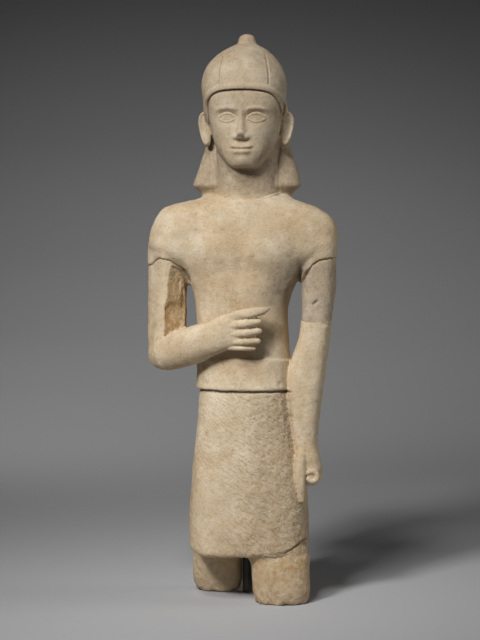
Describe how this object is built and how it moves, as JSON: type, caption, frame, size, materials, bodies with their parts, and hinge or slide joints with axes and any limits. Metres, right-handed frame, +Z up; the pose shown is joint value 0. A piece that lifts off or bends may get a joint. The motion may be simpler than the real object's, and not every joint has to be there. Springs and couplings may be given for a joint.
{
  "type": "limestone votary statue",
  "caption": "Carved limestone statue of a standing man in helmet, tunic and kilt, one arm laid across the belly, broken off above the knees, with a plain dark prop between the legs.",
  "frame": {"origin": "on the floor, in the middle of the figure's plan", "axes": "+Z up, the figure faces -Y, its left side is towards +X"},
  "size_m": [0.424, 0.2223, 1.249],
  "materials": {
    "limestone": "matt, worn and pitted",
    "post_paint": "satin"
  },
  "bodies": {
    "root": {"limestone_figure": "limestone", "support_post": "post_paint"}
  },
  "joints": []
}
